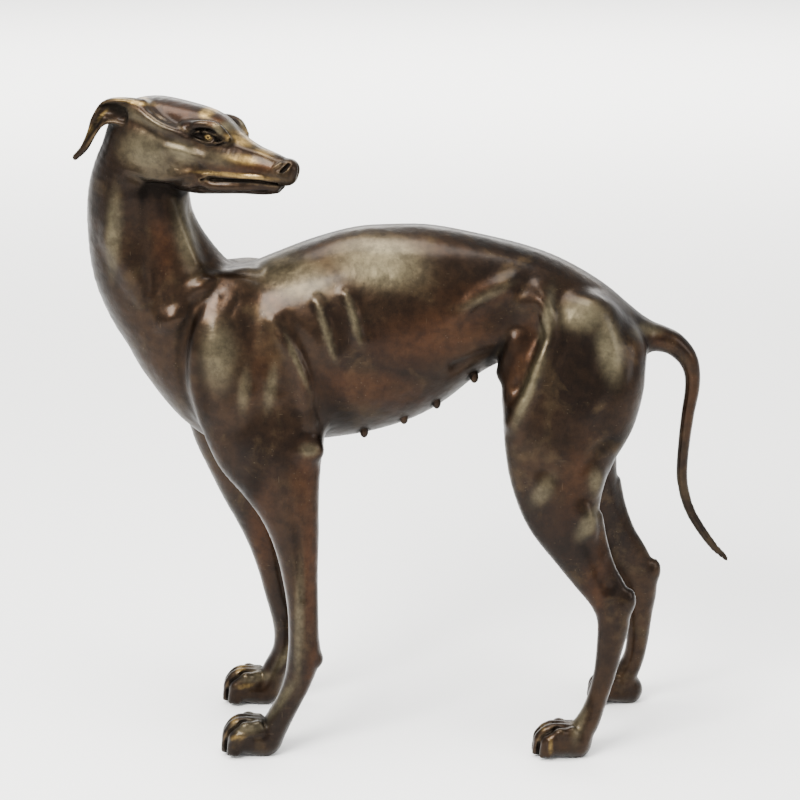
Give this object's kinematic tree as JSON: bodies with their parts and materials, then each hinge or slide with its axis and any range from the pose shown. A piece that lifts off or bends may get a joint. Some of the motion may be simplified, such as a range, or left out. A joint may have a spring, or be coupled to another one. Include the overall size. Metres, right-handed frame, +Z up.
{
  "type": "greyhound statue",
  "caption": "Standing greyhound bitch cast in hollow bronze, head turned back along her side, ear folded, long tail hanging in a curve; stands on her own feet.",
  "frame": {"origin": "on the floor, under the middle of the whole figure", "axes": "+Z up; the body faces -X with the tail at +X; the near side, to which the head turns, is at -Y"},
  "size_m": [0.7866, 0.215, 0.802],
  "materials": {
    "bronze": "dark chocolate-brown bronze patina under wax, satin, rubbed to gold on the muzzle, brow, ear rim and toes"
  },
  "bodies": {
    "root": {"greyhound": "bronze"}
  },
  "joints": []
}
